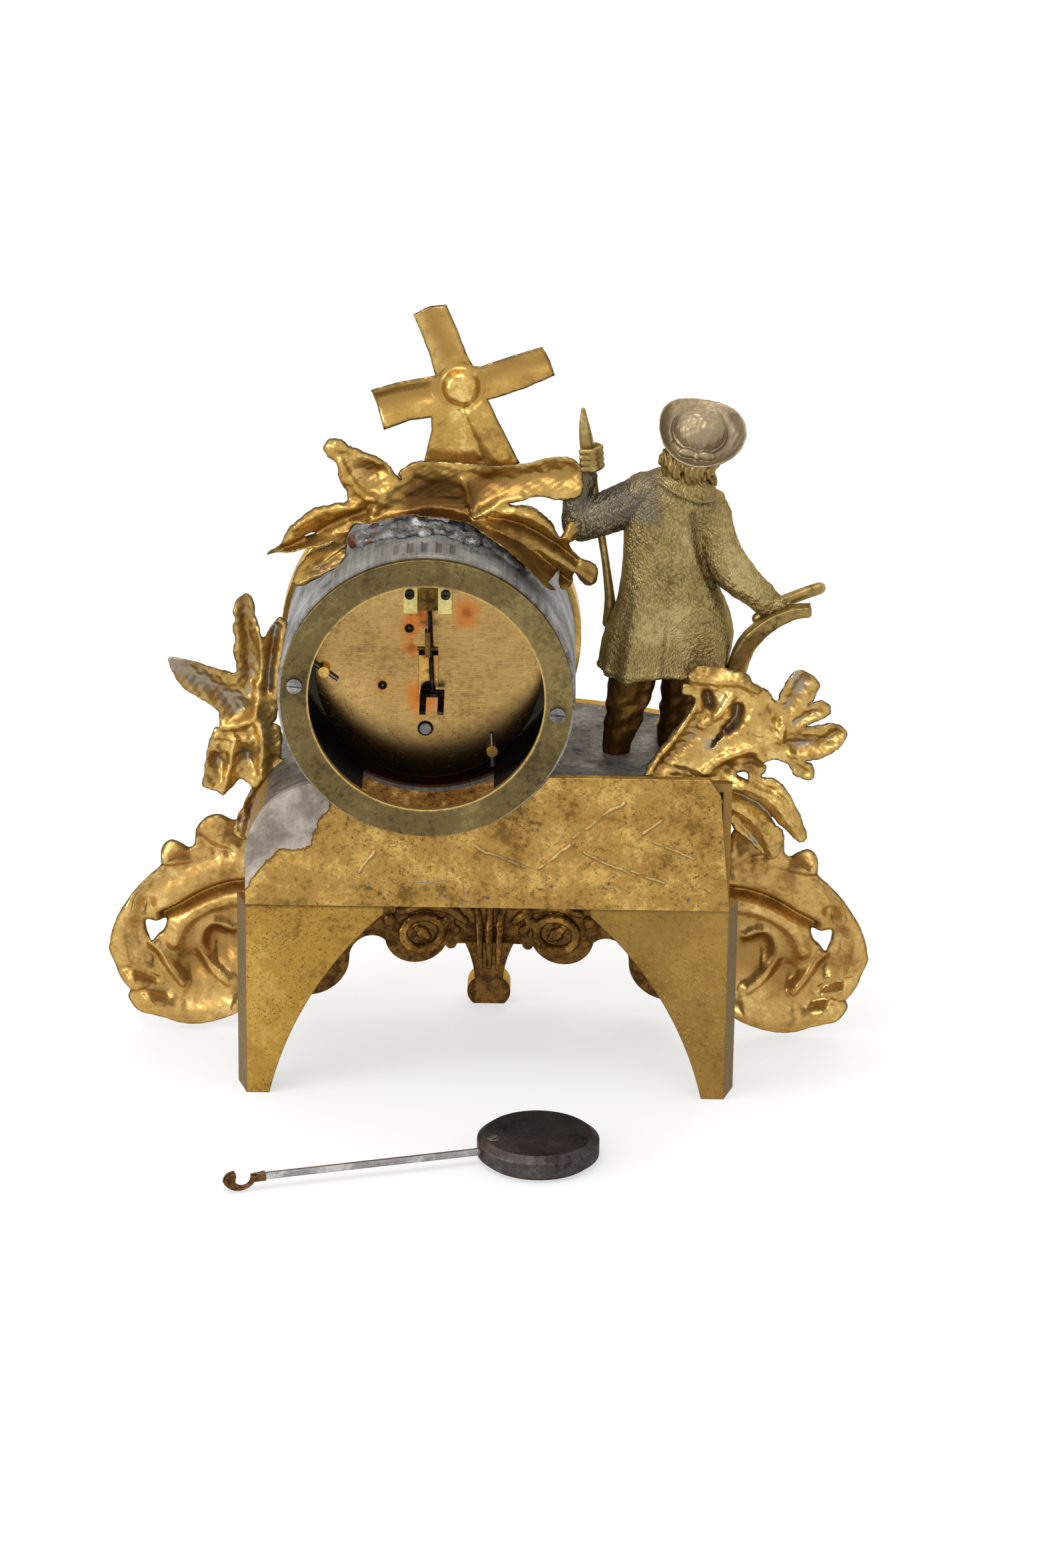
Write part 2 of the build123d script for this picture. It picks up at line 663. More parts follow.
goad_top = (-30.5, FIGURE_Y - 5.0, 241.6)
goad_foot = (-40.4, FIGURE_Y - 5.0, 162.0)
goad = rod(goad_top, goad_foot, GOAD_RADIUS)
save("goad", goad)


def arm(shoulder, elbow, wrist, hand):
    """Sleeve in two lengths with a closed hand."""
    upper = rod(shoulder, elbow, ARM_RADIUS + 0.6, ARM_RADIUS)
    lower = rod(elbow, wrist, ARM_RADIUS, WRIST_RADIUS)
    joints = [ball(elbow, 1.06 * ARM_RADIUS), ball(shoulder, 1.06 * (ARM_RADIUS + 0.6))]
    return fused(upper, [lower, ball(hand, HAND_RADIUS), *joints])


goad_arm = arm(
    (FIGURE_X + 15.0, FIGURE_Y - 2.0, neck_z - 7.0),
    (-28.0, FIGURE_Y - 4.0, 199.0),
    (-32.5, FIGURE_Y - 5.0, 222.0),
    (-32.6, FIGURE_Y - 5.0, 224.6),
)
save("figure_goad_arm", goad_arm - coat - goad)

stilt_round = rod((-114.0, FIGURE_Y + 4.0, 179.8), (-92.0, FIGURE_Y + 2.0, 168.5), STILT_RADIUS)
stilt_path = Spline(
    (-110.5, FIGURE_Y + 12.0, 173.0),
    (-97.0, FIGURE_Y + 8.0, 165.5),
    (-87.5, FIGURE_Y, 150.0),
    (-80.0, FIGURE_Y - 14.0, PLATFORM_Z + 4.0),
)
stilt_start = Plane(origin=stilt_path @ 0, z_dir=stilt_path % 0)
stilt_curved = sweep(stilt_start * Circle(STILT_RADIUS), path=stilt_path)
cross_stilt = rod((-92.5, FIGURE_Y + 2.0, 168.75), (-87.5, FIGURE_Y, 150.0), STILT_RADIUS)
plough_body = block(-82.0, -58.0, FIGURE_Y - 18.0, FIGURE_Y - 10.0, PLATFORM_Z, PLATFORM_Z + 7.0)
share_tip = (-40.0, FIGURE_Y - 20.0, PLATFORM_Z + 1.5)
share = leaf((-64.0, FIGURE_Y - 14.0, PLATFORM_Z + 3.5), share_tip, 3.0, 5.0)
plough = fused(plough_body, [stilt_curved, stilt_round, cross_stilt, share])
plough_arm = arm(
    (FIGURE_X - 17.0, FIGURE_Y, neck_z - 9.0),
    (-86.0, FIGURE_Y + 1.0, 190.0),
    (-96.5, FIGURE_Y + 2.5, 175.5),
    (-97.9, FIGURE_Y + 2.6, 173.2),
)
figure_boots = [figure_leg(-45.0, 14.0, -48.0, -20.0), figure_leg(-66.0, 7.0, -64.0, 15.0)]
plough = plough - coat - figure_boots[0] - figure_boots[1] - right_spray
save("plough", plough)
save("figure_plough_arm", plough_arm - coat - plough)

# Bezel, glass and dial on the front of the drum
bezel_front = DRUM_FRONT - BEZEL_DEPTH
bezel_bore = BEZEL_RADIUS - BEZEL_WIDTH
dial_radius = bezel_bore + DIAL_REBATE
dial_front = DRUM_FRONT - DIAL_THICK - SEAT_GAP
glass_front = bezel_front + GLASS_SETBACK
glass_rear = glass_front + GLASS_THICK
bezel = bar(BEZEL_RADIUS, bezel_front, DRUM_FRONT) - bar(bezel_bore, bezel_front - 1, DRUM_FRONT + 1)
bezel -= bar(dial_radius + SEAT_GAP, dial_front, DRUM_FRONT + 1)
bezel -= bar(bezel_bore + GLASS_REBATE, glass_front, glass_rear)
save("bezel", bezel)
save("dial_glass", bar(bezel_bore + GLASS_REBATE, glass_front, glass_rear))
dial = bar(dial_radius, dial_front, dial_front + DIAL_THICK)
dial -= bar(PIPE_HOLE, dial_front - 1, DRUM_FRONT + 1)
dial -= arbor_bar(WINDING_HOLE, dial_front - 1, DRUM_FRONT + 1, BARREL_AT)
dial_rear = dial_front + DIAL_THICK
for angle in (35.0, 150.0, 270.0):
    foot_at = (33.0 * math.cos(math.radians(angle)), 33.0 * math.sin(math.radians(angle)))
    dial += arbor_bar(1.5, dial_rear, FRONT_PLATE_FRONT, foot_at)
save("dial", dial)

# Rear ring, its screws, and the straps down the inside of the drum
ring_bore = RING_OUTER - RING_WIDTH
ring = bar(RING_OUTER, DRUM_REAR, RING_REAR) - bar(ring_bore, DRUM_REAR - 1, RING_REAR + 1)
strap_outer = DRUM_BORE - SEAT_GAP
strap_reach = ring_bore + RING_WIDTH / 2 - 3.2
screw_circle = ring_bore + RING_WIDTH / 2
strap_run = block(
    DRUM_X + strap_outer - STRAP_THICK - 0.5,
    DRUM_X + strap_outer - 0.5,
    DRUM_FRONT,
    DRUM_REAR,
    DRUM_Z - STRAP_WIDTH / 2,
    DRUM_Z + STRAP_WIDTH / 2,
)
strap_tab = block(
    DRUM_X + strap_reach,
    DRUM_X + strap_outer - 0.5,
    DRUM_REAR - 2.2,
    DRUM_REAR,
    DRUM_Z - STRAP_WIDTH / 2,
    DRUM_Z + STRAP_WIDTH / 2,
)
screw_x = DRUM_X + screw_circle
screw_hole = bar(RING_SCREW_RADIUS, DRUM_REAR - 5, RING_REAR + 1, screw_x, DRUM_Z)
strap = (strap_run + strap_tab) - screw_hole
ring_screw = bar(RING_SCREW_HEAD, RING_REAR, RING_REAR + RING_SCREW_HEAD_THICK, screw_x, DRUM_Z)
ring_screw += bar(RING_SCREW_RADIUS, DRUM_REAR - 3.0, RING_REAR, screw_x, DRUM_Z)
ring_screw -= block(
    screw_x - 5,
    screw_x + 5,
    RING_REAR + RING_SCREW_HEAD_THICK / 2,
    RING_REAR + RING_SCREW_HEAD_THICK + 1,
    DRUM_Z - 0.4,
    DRUM_Z + 0.4,
)
drum_at = (DRUM_X, DRUM_Z)
ring_sides = [-STRAP_TURN, 180.0 - STRAP_TURN]
for angle in ring_sides:
    ring -= turned(screw_hole, drum_at, angle)
save("rear_ring", ring)
save("case_straps", *[turned(strap, drum_at, angle) for angle in ring_sides])
save("ring_screws", *[turned(ring_screw, drum_at, angle) for angle in ring_sides])

# Movement: wheels with teeth by formula, meshing along the line between two arbors


def distance(a, b):
    """Distance between two arbor places."""
    return math.hypot(a[0] - b[0], a[1] - b[1])


def bearing(a, b):
    """Direction from one arbor place to another, in degrees."""
    return math.degrees(math.atan2(b[1] - a[1], b[0] - a[0]))


PINION_DEDENDUM = 1.2


def pinion_root(leaves, module):
    """Radius at the foot of a pinion's leaves."""
    return module * (leaves / 2 - PINION_DEDENDUM)


def tooth_face(teeth, module, at, toward, on_tooth, is_pinion):
    """Toothed outline in (x, z); a tooth, or a gap, points at the mating arbor."""
    pitch_radius = module * teeth / 2
    addendum = 0.55 if is_pinion else 0.85
    dedendum = PINION_DEDENDUM if is_pinion else 0.95
    at_pitch = 0.15 if is_pinion else 0.2
    at_tip = 0.09 if is_pinion else 0.075
    at_root = 0.13 if is_pinion else 0.22
    corners = [
        (-at_root, pitch_radius - dedendum * module),
        (-at_pitch, pitch_radius),
        (-at_tip, pitch_radius + addendum * module),
        (at_tip, pitch_radius + addendum * module),
        (at_pitch, pitch_radius),
        (at_root, pitch_radius - dedendum * module),
    ]
    x, z = on_plate(at)
    start = toward + (0.0 if on_tooth else 180.0 / teeth)
    points = []
    for i in range(teeth):
        for share_of_pitch, radius in corners:
            turn = math.radians(start + (i + share_of_pitch) * 360.0 / teeth)
            points.append((x + radius * math.cos(turn), z + radius * math.sin(turn)))
    return polygon(points)


def window(at, inner, outer, start, end):
    """Opening between two spokes of a crossed-out wheel."""
    x, z = on_plate(at)

    def spot(radius, degrees):
        return (x + radius * math.cos(math.radians(degrees)), z + radius * math.sin(math.radians(degrees)))

    middle = (start + end) / 2
    return make_face(
        [
            ThreePointArc(spot(outer, start), spot(outer, middle), spot(outer, end)),
            Line(spot(outer, end), spot(inner, end)),
            ThreePointArc(spot(inner, end), spot(inner, middle), spot(inner, start)),
            Line(spot(inner, start), spot(outer, start)),
        ]
    )


def wheel(teeth, module, at, toward, front, spokes=4, bore=COLLET_RADIUS):
    """Brass wheel with spokes and a round bore."""
    face = tooth_face(teeth, module, at, toward, True, False)
    outer = module * teeth / 2 - 2.6 * module
    inner = bore + 1.4
    for i in range(spokes):
        start = 360.0 * i / spokes
        face -= window(at, inner, outer, start + 9.0, start + 360.0 / spokes - 9.0)
    return slab(face, front, front + WHEEL_THICK) - arbor_bar(bore, front - 1, front + WHEEL_THICK + 1, at)


def pinion(leaves, module, at, toward, front, rear):
    """Steel pinion."""
    return slab(tooth_face(leaves, module, at, toward, False, True), front, rear)


def pair_module(a, b, teeth, leaves):
    """Module that lets two tooth counts meet across the distance between two arbors."""
    return 2.0 * distance(a, b) / (teeth + leaves)


CENTRE_AT = (0.0, 0.0)
barrel_module = pair_module(BARREL_AT, SECOND_AT, BARREL_TEETH, SECOND_LEAVES)
second_module = pair_module(SECOND_AT, CENTRE_AT, SECOND_TEETH, CENTRE_LEAVES)
centre_module = pair_module(CENTRE_AT, THIRD_AT, CENTRE_TEETH, THIRD_LEAVES)
third_module = pair_module(THIRD_AT, ESCAPE_AT, THIRD_TEETH, ESCAPE_LEAVES)
cannon_module = pair_module(CENTRE_AT, MINUTE_AT, MINUTE_TEETH, CANNON_LEAVES)
minute_module = pair_module(CENTRE_AT, MINUTE_AT, HOUR_TEETH, MINUTE_LEAVES)

# Levels between the plates, from the front plate's inner face to the back plate's
great_front = FRONT_PLATE_REAR + 1.5
great_rear = great_front + 2.0
barrel_rear = great_front + BARREL_HEIGHT + 2.0
second_front = barrel_rear + 2.0
centre_front = second_front + WHEEL_THICK + 1.8
third_front = FRONT_PLATE_REAR + 9.4
escape_front = third_front + 5.4

# Going barrel with great wheel, lid, mainspring, winding arbor and ratchet
great_face = tooth_face(BARREL_TEETH, barrel_module, BARREL_AT, bearing(BARREL_AT, SECOND_AT), True, False)
barrel = slab(great_face, great_front, great_rear)
barrel += arbor_bar(BARREL_RADIUS, great_rear, barrel_rear - 1.0, BARREL_AT)
barrel -= arbor_bar(BARREL_RADIUS - BARREL_WALL, great_rear - 0.8, barrel_rear, BARREL_AT)
barrel -= arbor_bar(BARREL_ARBOR + PIVOT_GAP, great_front - 1, great_rear + 1, BARREL_AT)
lid = arbor_bar(BARREL_RADIUS, barrel_rear - 1.0, barrel_rear, BARREL_AT)
lid -= arbor_bar(BARREL_ARBOR + PIVOT_GAP, barrel_rear - 2, barrel_rear + 1, BARREL_AT)
save("barrel", barrel, lid)
barrel_x, barrel_z = on_plate(BARREL_AT)
spring_inner = BARREL_HUB + SPRING_THICK / 2 + 0.2
spring_outer = BARREL_RADIUS - BARREL_WALL - SPRING_THICK / 2 - 0.05
SPRING_STEPS = 28
coil_out = []
coil_in = []
for i in range(SPRING_TURNS * SPRING_STEPS + 1):
    coil_turn = 2.0 * math.pi * i / SPRING_STEPS
    coil_radius = spring_inner + (spring_outer - spring_inner) * i / (SPRING_TURNS * SPRING_STEPS)
    for edge_points, side in ((coil_out, 0.5), (coil_in, -0.5)):
        reach = coil_radius + side * SPRING_THICK
        edge_points.append((barrel_x + reach * math.cos(coil_turn), barrel_z + reach * math.sin(coil_turn)))
mainspring = slab(polygon(coil_out + coil_in[::-1]), great_rear - 0.4, barrel_rear - 1.3)
save("mainspring", mainspring)
square_rear = FRONT_PLATE_FRONT - 0.1
ratchet_front = square_rear - 1.4
winding = arbor_bar(BARREL_ARBOR, FRONT_PLATE_FRONT - 0.1, BACK_PLATE_FRONT - 0.1, BARREL_AT)
winding += arbor_bar(BARREL_HUB, great_rear - 0.6, barrel_rear - 1.2, BARREL_AT)
winding += arbor_bar(BARREL_ARBOR - 0.6, BACK_PLATE_FRONT - 0.1, BACK_PLATE_REAR + 0.8, BARREL_AT)
winding += block(
    barrel_x - SQUARE / 2,
    barrel_x + SQUARE / 2,
    square_rear - SQUARE_LENGTH,
    square_rear,
    barrel_z - SQUARE / 2,
    barrel_z + SQUARE / 2,
)
save("barrel_arbor", winding)
ratchet_points = []
for i in range(RATCHET_TEETH):
    for part_turn, radius in ((0.0, RATCHET_RADIUS - 0.9), (0.12, RATCHET_RADIUS), (0.2, RATCHET_RADIUS)):
        turn = 2.0 * math.pi * (i + part_turn) / RATCHET_TEETH
        ratchet_points.append((barrel_x + radius * math.cos(turn), barrel_z + radius * math.sin(turn)))
ratchet = slab(polygon(ratchet_points), ratchet_front, square_rear) - winding
save("ratchet_wheel", ratchet)

# Click and its blade spring on the front plate
click_at = (BARREL_AT[0] + 9.5, BARREL_AT[1] + 5.5)
click_x, click_z = on_plate(click_at)
tip_x = barrel_x + 8.5 * math.cos(math.radians(75.0))
tip_z = barrel_z + 8.5 * math.sin(math.radians(75.0))
click_arm = polygon(
    [
        (click_x - 0.5, click_z - 1.1),
        (tip_x, tip_z - 0.75),
        (tip_x + 0.4, tip_z + 0.75),
        (click_x + 0.5, click_z + 1.1),
    ]
)
CLICK_POST = 1.0
click = slab(click_arm, ratchet_front, square_rear) + bar(2.0, ratchet_front, square_rear, click_x, click_z)
click -= bar(CLICK_POST + PIVOT_GAP, ratchet_front - 1, square_rear + 1, click_x, click_z)
save("click", click)
blade_face = polygon(
    [
        (tip_x + 0.6, tip_z + 1.2),
        (click_x + 3.4, click_z + 4.2),
        (click_x + 7.5, click_z + 1.0),
        (click_x + 9.5, click_z + 2.6),
        (click_x + 5.0, click_z + 6.0),
        (tip_x + 0.8, tip_z + 1.7),
    ]
)
save("click_spring", slab(blade_face, ratchet_front, FRONT_PLATE_FRONT))

# Arbors and wheels of the train


def arbor(at, leaves, module, pieces, rear=BACK_PLATE_REAR):
    """Arbor between the plates, no thicker than its pinion's root, with a pivot at each end."""
    radius = min(ARBOR_RADIUS, pinion_root(leaves, module) - 0.04)
    shaft = arbor_bar(radius, FRONT_PLATE_REAR + 0.2, BACK_PLATE_FRONT - 0.2, at)
    pivot = arbor_bar(PIVOT_RADIUS, FRONT_PLATE_FRONT + 0.1, rear - 0.1, at)
    return fused(shaft, [pivot, *pieces])


second_to_barrel = bearing(SECOND_AT, BARREL_AT)
second_to_centre = bearing(SECOND_AT, CENTRE_AT)
second_pinion = pinion(
    SECOND_LEAVES, barrel_module, SECOND_AT, second_to_barrel, great_front - 0.9, great_rear + 0.7
)
second_collet = arbor_bar(COLLET_RADIUS, second_front - 1.0, second_front + WHEEL_THICK, SECOND_AT)
save("second_arbor", arbor(SECOND_AT, SECOND_LEAVES, barrel_module, [second_pinion, second_collet]))
save("second_wheel", wheel(SECOND_TEETH, second_module, SECOND_AT, second_to_centre, second_front))

centre_to_second = bearing(CENTRE_AT, SECOND_AT)
centre_to_third = bearing(CENTRE_AT, THIRD_AT)
centre_pinion = pinion(
    CENTRE_LEAVES, second_module, CENTRE_AT, centre_to_second, second_front - 0.8, second_front + 2.0
)
pipe_front = dial_front - 3.6
centre_shaft = arbor_bar(CENTRE_RADIUS, pipe_front - 0.3, BACK_PLATE_FRONT - 0.2, CENTRE_AT)
centre_pivot = arbor_bar(PIVOT_RADIUS + 0.3, BACK_PLATE_FRONT - 0.3, BACK_PLATE_REAR - 0.1, CENTRE_AT)
centre_collet = arbor_bar(COLLET_RADIUS, centre_front - 0.4, centre_front + WHEEL_THICK, CENTRE_AT)
save("centre_arbor", fused(centre_shaft, [centre_pivot, centre_pinion, centre_collet]))
save("centre_wheel", wheel(CENTRE_TEETH, centre_module, CENTRE_AT, centre_to_third, centre_front))

third_to_centre = bearing(THIRD_AT, CENTRE_AT)
third_to_escape = bearing(THIRD_AT, ESCAPE_AT)
third_pinion = pinion(
    THIRD_LEAVES, centre_module, THIRD_AT, third_to_centre, centre_front - 0.8, centre_front + 1.6
)
third_collet = arbor_bar(COLLET_RADIUS, third_front - 1.0, third_front + WHEEL_THICK, THIRD_AT)
save("third_arbor", arbor(THIRD_AT, THIRD_LEAVES, centre_module, [third_pinion, third_collet]))
save("third_wheel", wheel(THIRD_TEETH, third_module, THIRD_AT, third_to_escape, third_front))

escape_to_third = bearing(ESCAPE_AT, THIRD_AT)
escape_pinion = pinion(
    ESCAPE_LEAVES, third_module, ESCAPE_AT, escape_to_third, third_front - 0.8, third_front + 2.2
)
escape_collet = arbor_bar(COLLET_RADIUS, escape_front - 1.0, escape_front + 1.0, ESCAPE_AT)
blind_rear = BACK_PLATE_REAR - PLATE_THICK / 2
escape_shaft = arbor(ESCAPE_AT, ESCAPE_LEAVES, third_module, [escape_pinion, escape_collet], blind_rear)
save("escape_arbor", escape_shaft)
escape_x, escape_z = on_plate(ESCAPE_AT)
escape_points = []
escape_tooth = ((0.0, ESCAPE_RADIUS - 1.3), (0.5, ESCAPE_RADIUS - 0.5), (0.72, ESCAPE_RADIUS))
for i in range(ESCAPE_TEETH):
    for part_turn, radius in escape_tooth:
        turn = 2.0 * math.pi * (i + part_turn) / ESCAPE_TEETH
        escape_points.append((escape_x + radius * math.cos(turn), escape_z + radius * math.sin(turn)))
escape_face = polygon(escape_points)
for i in range(4):
    spoke = 90.0 * i
    escape_face -= window(ESCAPE_AT, COLLET_RADIUS + 1.0, ESCAPE_RADIUS - 2.4, spoke + 12.0, spoke + 78.0)
escape_wheel = slab(escape_face, escape_front, escape_front + 1.0)
escape_wheel -= arbor_bar(COLLET_RADIUS, escape_front - 1, escape_front + 2, ESCAPE_AT)
save("escape_wheel", escape_wheel)

# Pallets on their arbor, which runs back through the plate to the suspension bracket
pallet_x, pallet_z = on_plate(PALLET_AT)
bracket_front = BACK_PLATE_REAR + BRACKET_STAND
lean = bearing(ESCAPE_AT, PALLET_AT)
nib_radius = ESCAPE_RADIUS + PALLET_CLEAR


def round_escape(radius, degrees):
    """Point about the escape arbor, measured from the line to the pallets."""
    turn = math.radians(lean + degrees)
    return (escape_x + radius * math.cos(turn), escape_z + radius * math.sin(turn))


pallet_face = curved(
    [round_escape(nib_radius, 52.0), round_escape(nib_radius + 0.4, 0.0), round_escape(nib_radius, -52.0)],
    [round_escape(nib_radius + 1.8, -56.0), (pallet_x, pallet_z), round_escape(nib_radius + 1.8, 56.0)],
)
anchor = slab(pallet_face, escape_front - 0.3, escape_front + 1.3)
anchor += arbor_bar(COLLET_RADIUS, escape_front - 0.8, escape_front + 1.8, PALLET_AT)
pallet_shaft = arbor_bar(ARBOR_RADIUS, FRONT_PLATE_REAR + 0.2, bracket_front - 0.2, PALLET_AT)
pallet_pivot = arbor_bar(PIVOT_RADIUS, FRONT_PLATE_FRONT + 0.1, bracket_front + 2.0, PALLET_AT)
pallets = fused(anchor, [pallet_shaft, pallet_pivot])
save("pallet_arbor", pallets)

# Crutch: a wire hanging behind the plate, with a fork for the pendulum rod
crutch_y = BACK_PLATE_REAR + 3.4
fork_z = pallet_z - CRUTCH_LENGTH
crutch_foot_x = pallet_x - 1.5
collar = arbor_bar(COLLET_RADIUS, crutch_y - 1.4, crutch_y + 1.4, PALLET_AT)
crutch_wire = rod((pallet_x, crutch_y, pallet_z), (crutch_foot_x, crutch_y, fork_z), CRUTCH_ROD)
fork = block(
    crutch_foot_x - FORK_WIDTH / 2,
    crutch_foot_x + FORK_WIDTH / 2,
    crutch_y - CRUTCH_ROD,
    crutch_y - CRUTCH_ROD + FORK_LENGTH,
    -FORK_THICK / 2,
    FORK_THICK / 2,
)
fork -= block(
    crutch_foot_x - FORK_SLOT / 2,
    crutch_foot_x + FORK_SLOT / 2,
    crutch_y + 2.5,
    crutch_y + FORK_LENGTH + 1,
    -FORK_THICK,
    FORK_THICK,
)
fork = Pos(0, crutch_y, fork_z) * Rot(-14, 0, 0) * Pos(0, -crutch_y, 0) * fork
crutch = fused(collar, [crutch_wire, fork]) - pallets
save("crutch", crutch)

# Suspension: bracket on two feet, chops in its slot, flat spring and lower link with cross pin
bracket_rear = bracket_front + BRACKET_DEPTH
bracket_low = pallet_z - 2.5
foot_reach = BRACKET_WIDTH / 2 - BRACKET_FOOT - 0.4
bracket = block(
    pallet_x - BRACKET_WIDTH / 2,
    pallet_x + BRACKET_WIDTH / 2,
    bracket_front,
    bracket_rear,
    bracket_low,
    bracket_low + BRACKET_HEIGHT,
)
bracket -= block(
    pallet_x - CHOPS_WIDTH / 2,
    pallet_x + CHOPS_WIDTH / 2,
    bracket_rear - CHOPS_DEPTH,
    bracket_rear + 1,
    bracket_low - 1,
    bracket_low + BRACKET_HEIGHT + 1,
)
bracket -= arbor_bar(PIVOT_RADIUS + PIVOT_GAP, bracket_front - 1, bracket_front + 2.5, PALLET_AT)
foot_places = [(PALLET_AT[0] + side * foot_reach, PALLET_AT[1] + 4.5) for side in (-1, 1)]
for place in foot_places:
    bracket += arbor_bar(BRACKET_FOOT, BACK_PLATE_REAR, bracket_front, place)
for place in foot_places:
    bracket -= arbor_bar(BLUE_SCREW_SHANK, BACK_PLATE_REAR - 1, bracket_rear + 1, place)
save("suspension_bracket", bracket)
chops_y = bracket_rear - CHOPS_DEPTH / 2
spring_low = bracket_low - FLAT_SPRING_DROP
spring_top = bracket_low + BRACKET_HEIGHT - 3.0
flat_spring = block(
    pallet_x - FLAT_SPRING_THICK / 2,
    pallet_x + FLAT_SPRING_THICK / 2,
    chops_y - FLAT_SPRING_WIDTH / 2,
    chops_y + FLAT_SPRING_WIDTH / 2,
    spring_low,
    spring_top,
)
save("suspension_spring", flat_spring)
chops = block(
    pallet_x - CHOPS_WIDTH / 2 + 0.05,
    pallet_x + CHOPS_WIDTH / 2 - 0.05,
    bracket_rear - CHOPS_DEPTH,
    bracket_rear - 0.3,
    bracket_low + 1.0,
    bracket_low + BRACKET_HEIGHT - 0.5,
)
save("suspension_chops", chops - flat_spring)
link = block(
    pallet_x - LINK_THICK / 2,
    pallet_x + LINK_THICK / 2,
    chops_y - FLAT_SPRING_WIDTH / 2 - 0.4,
    chops_y + FLAT_SPRING_WIDTH / 2 + 0.4,
    spring_low - LINK_LENGTH + 2.0,
    spring_low - 0.02,
)
pin_z = spring_low - LINK_LENGTH + 4.5
link += rod(
    (pallet_x - CROSS_PIN_LENGTH / 2, chops_y, pin_z),
    (pallet_x + CROSS_PIN_LENGTH / 2, chops_y, pin_z),
    CROSS_PIN_RADIUS,
)
save("suspension_link", link)

# Plates, pillars and pins
pillar_places = []
for angle in PILLAR_ANGLES:
    turn = math.radians(angle)
    pillar_places.append((PILLAR_CIRCLE * math.cos(turn), PILLAR_CIRCLE * math.sin(turn)))
cock_x, cock_z = on_plate((0.0, COCK_BOTTOM + 2.5))
cock_slot = block(
    DRUM_X - COCK_WIDTH / 2,
    DRUM_X + COCK_WIDTH / 2,
    BACK_PLATE_FRONT - 1,
    BACK_PLATE_REAR + 1,
    DRUM_Z + COCK_BOTTOM,
    DRUM_Z + COCK_TOP + COCK_OPEN,
)
back_plate = bar(PLATE_RADIUS, BACK_PLATE_FRONT, BACK_PLATE_REAR) - cock_slot
front_plate = bar(PLATE_RADIUS, FRONT_PLATE_FRONT, FRONT_PLATE_REAR)
for place in pillar_places:
    back_plate -= arbor_bar(PILLAR_TENON, BACK_PLATE_FRONT - 1, BACK_PLATE_REAR + 1, place)
    front_plate -= arbor_bar(PILLAR_TENON, FRONT_PLATE_FRONT - 1, FRONT_PLATE_REAR + 1, place)
for place in (SECOND_AT, THIRD_AT):
    back_plate -= arbor_bar(PIVOT_RADIUS + PIVOT_GAP, BACK_PLATE_FRONT - 1, BACK_PLATE_REAR + 1, place)
back_plate -= arbor_bar(PIVOT_RADIUS + PIVOT_GAP, BACK_PLATE_FRONT - 1, blind_rear, ESCAPE_AT)
barrel_hole = BARREL_ARBOR - 0.6 + PIVOT_GAP
back_plate -= arbor_bar(barrel_hole, BACK_PLATE_FRONT - 1, BACK_PLATE_REAR + 1, BARREL_AT)
back_plate -= arbor_bar(ARBOR_RADIUS + 1.2, BACK_PLATE_FRONT - 1, BACK_PLATE_REAR + 1, PALLET_AT)
for place in foot_places:
    back_plate -= arbor_bar(BLUE_SCREW_SHANK, BACK_PLATE_FRONT - 1, BACK_PLATE_REAR + 1, place)
save("back_plate", back_plate)
for place in (SECOND_AT, THIRD_AT, ESCAPE_AT, PALLET_AT):
    front_plate -= arbor_bar(PIVOT_RADIUS + PIVOT_GAP, FRONT_PLATE_FRONT - 1, FRONT_PLATE_REAR + 1, place)
front_plate -= arbor_bar(CENTRE_RADIUS + PIVOT_GAP, FRONT_PLATE_FRONT - 1, FRONT_PLATE_REAR + 1, CENTRE_AT)
front_plate -= arbor_bar(BARREL_ARBOR + PIVOT_GAP, FRONT_PLATE_FRONT - 1, FRONT_PLATE_REAR + 1, BARREL_AT)
minute_post = 1.0
minute_front = FRONT_PLATE_FRONT - 1.2 - WHEEL_THICK
post_front = minute_front - 2.8
front_plate += arbor_bar(minute_post, post_front - 0.6, FRONT_PLATE_FRONT, MINUTE_AT)
front_plate += arbor_bar(CLICK_POST, ratchet_front - 0.3, FRONT_PLATE_FRONT, click_at)
save("front_plate", front_plate)
pins = []
pillars = []
for angle, place in zip(PILLAR_ANGLES, pillar_places):
    x, z = on_plate(place)
    body = arbor_bar(PILLAR_RADIUS, FRONT_PLATE_REAR, BACK_PLATE_FRONT, place)
    body += arbor_bar(PILLAR_TENON, FRONT_PLATE_FRONT, BACK_PLATE_REAR + PILLAR_END, place)
    pin_y = BACK_PLATE_REAR + PIN_RADIUS + 0.35
    slant = math.radians(angle + 35.0)
    reach = (0.5 * PIN_LENGTH * math.cos(slant), 0.5 * PIN_LENGTH * math.sin(slant))
    thin_end = (x - reach[0], pin_y, z - reach[1])
    thick_end = (x + reach[0], pin_y, z + reach[1])
    taper_pin = rod(thin_end, thick_end, PIN_RADIUS, 1.5 * PIN_RADIUS)
    taper_pin -= block(x - 30, x + 30, BACK_PLATE_REAR - 5, BACK_PLATE_REAR, z - 30, z + 30)
    pins.append(taper_pin)
    pillars.append(body - taper_pin)
save("pillars", *pillars)
save("taper_pins", *pins)

